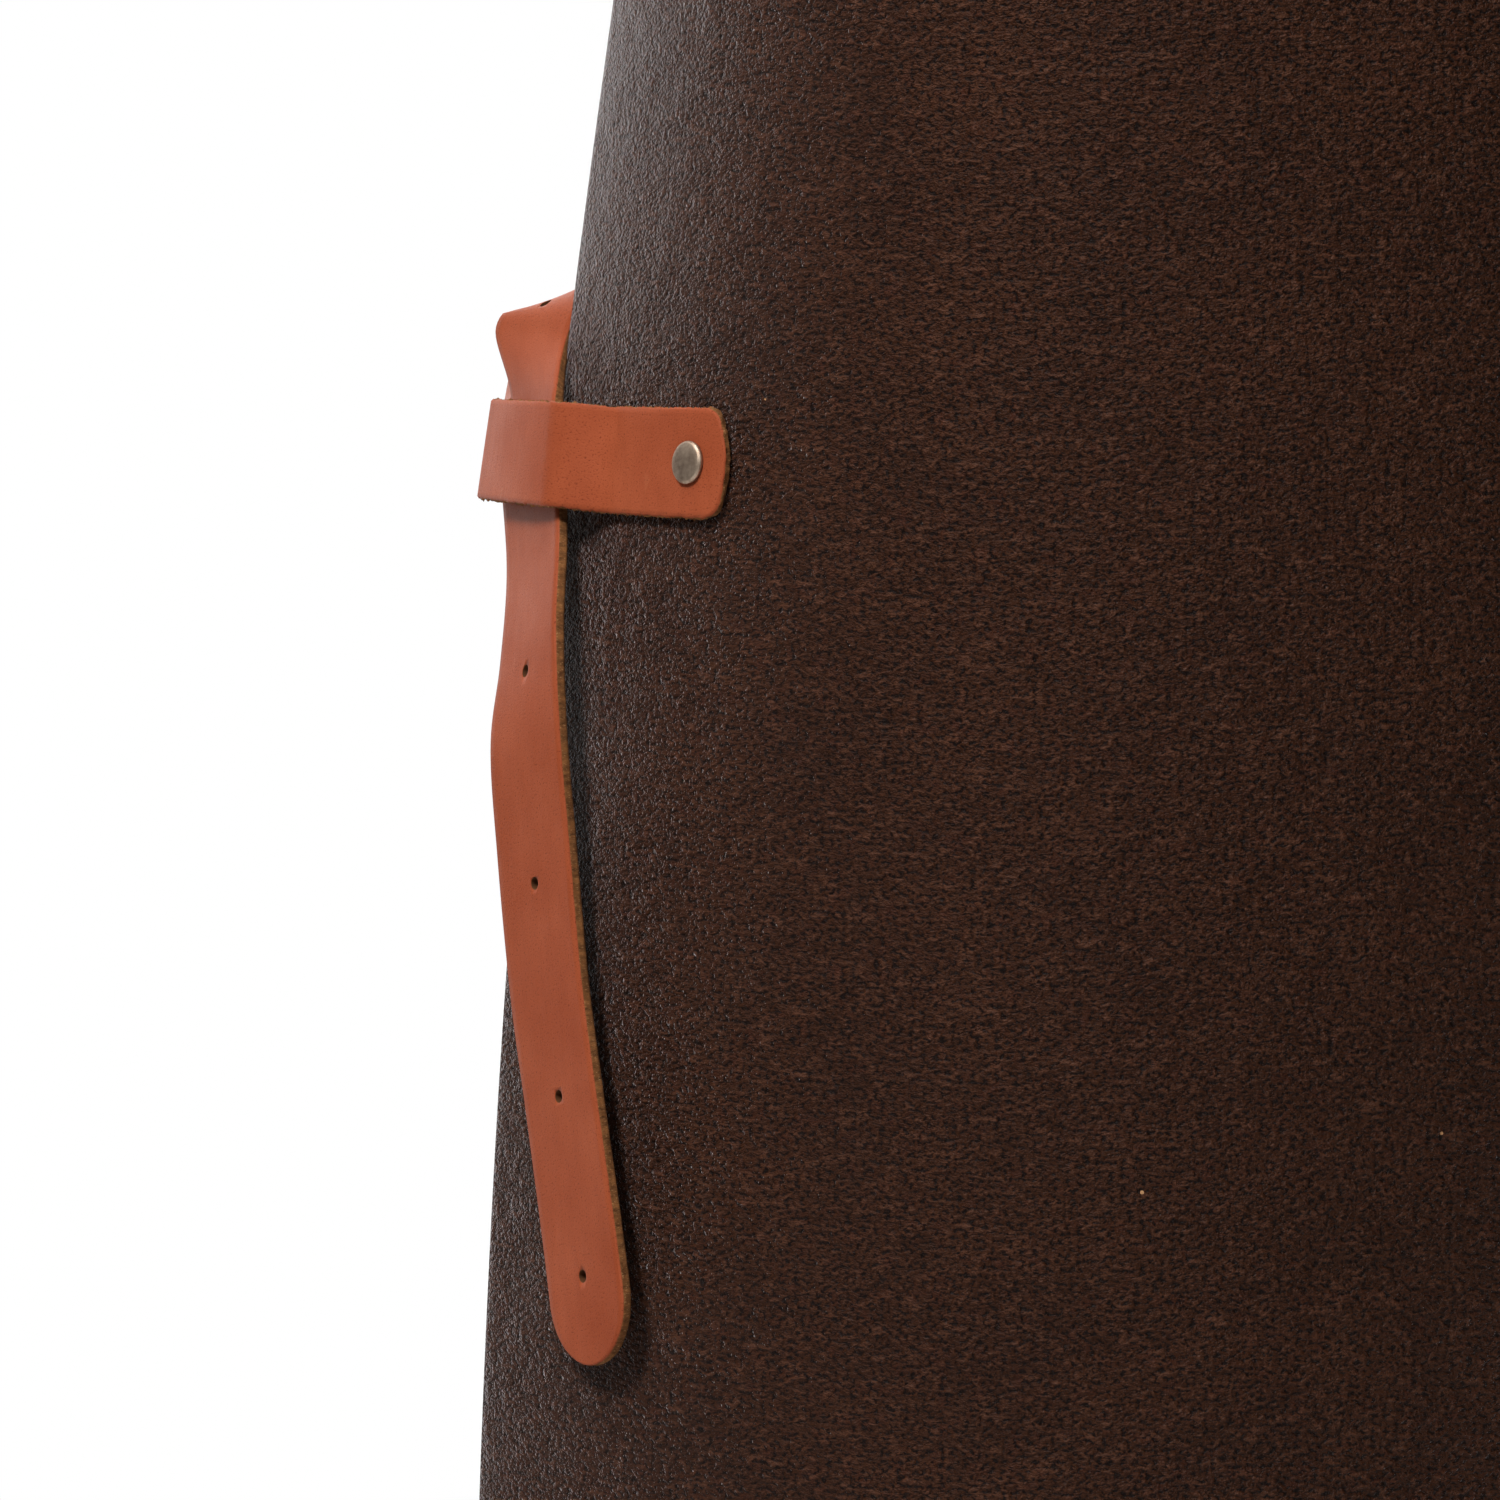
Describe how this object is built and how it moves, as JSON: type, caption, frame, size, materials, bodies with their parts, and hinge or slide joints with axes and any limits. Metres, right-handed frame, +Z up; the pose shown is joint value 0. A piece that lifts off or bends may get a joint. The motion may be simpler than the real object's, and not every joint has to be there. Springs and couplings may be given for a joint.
{
  "type": "welding apron",
  "caption": "Leather work apron as worn: wrapped bib panel with adjustable waist and neck straps held by riveted folded keepers over button studs.",
  "frame": {"origin": "middle of the neck strap, where it rests on the back of the wearer's neck", "axes": "+Z up, +X towards the wearer's left, -Y is the front of the apron"},
  "size_m": [0.4166, 0.3003, 1.0335],
  "materials": {
    "panel_leather": "matte, fine pebbled dark brown",
    "strap_leather": "satin, cognac brown with raw cut edges",
    "antique_brass": "antique, dark aged brass"
  },
  "bodies": {
    "neck": {"neck_strap_back": "strap_leather"},
    "waist_strap": {"waist_strap_back": "strap_leather"},
    "tail_right": {"waist_strap_tail_right": "strap_leather"},
    "neck_tail_right": {"neck_strap_tail_right": "strap_leather"},
    "tail_left": {"waist_strap_tail_left": "strap_leather"},
    "neck_tail_left": {"neck_strap_tail_left": "strap_leather"},
    "apron": {"apron_panel": "panel_leather", "keeper_bib_left": "strap_leather", "keeper_bib_right": "strap_leather", "keeper_hip_left": "strap_leather", "keeper_hip_right": "strap_leather", "neck_strap_run_left": "strap_leather", "neck_strap_run_right": "strap_leather", "rivet_back_cap_bib_left": "antique_brass", "rivet_back_cap_bib_right": "antique_brass", "rivet_back_cap_hip_left": "antique_brass", "rivet_back_cap_hip_right": "antique_brass", "rivet_cap_bib_left": "antique_brass", "rivet_cap_bib_right": "antique_brass", "rivet_cap_hip_left": "antique_brass", "rivet_cap_hip_right": "antique_brass", "rivet_post_bib_left": "antique_brass", "rivet_post_bib_right": "antique_brass", "rivet_post_hip_left": "antique_brass", "rivet_post_hip_right": "antique_brass", "stud_base_bib_left": "antique_brass", "stud_base_bib_right": "antique_brass", "stud_base_hip_left": "antique_brass", "stud_base_hip_right": "antique_brass", "stud_bib_left": "antique_brass", "stud_bib_right": "antique_brass", "stud_hip_left": "antique_brass", "stud_hip_right": "antique_brass", "waist_strap_run_left": "strap_leather", "waist_strap_run_right": "strap_leather"}
  },
  "joints": [
    {"name": "apron_swing", "type": "hinge", "parent": "neck", "child": "apron", "pos_m": [0, -0.16595, -0.236], "axis": [1, 0, 0], "range_deg": [-40, 5]},
    {"name": "waist_strap_swing", "type": "hinge", "parent": "apron", "child": "waist_strap", "pos_m": [0, 0.052, -0.504], "axis": [1, 0, 0], "range_deg": [-35, 20]},
    {"name": "tail_right_lift", "type": "hinge", "parent": "apron", "child": "tail_right", "pos_m": [-0.17641, -0.02387, -0.5408], "axis": [0.0605, 0.9192, -0.3891], "range_deg": [0, 68]},
    {"name": "tail_left_lift", "type": "hinge", "parent": "apron", "child": "tail_left", "pos_m": [0.17641, -0.02387, -0.5408], "axis": [0.0605, -0.9192, 0.3891], "range_deg": [0, 68]},
    {"name": "neck_tail_right_lift", "type": "hinge", "parent": "apron", "child": "neck_tail_right", "pos_m": [-0.12228, -0.16891, -0.2788], "axis": [-0.7857, 0.6182, -0.023], "range_deg": [0, 68]},
    {"name": "neck_tail_left_lift", "type": "hinge", "parent": "apron", "child": "neck_tail_left", "pos_m": [0.12228, -0.16891, -0.2788], "axis": [-0.7857, -0.6182, 0.023], "range_deg": [0, 68]}
  ]
}
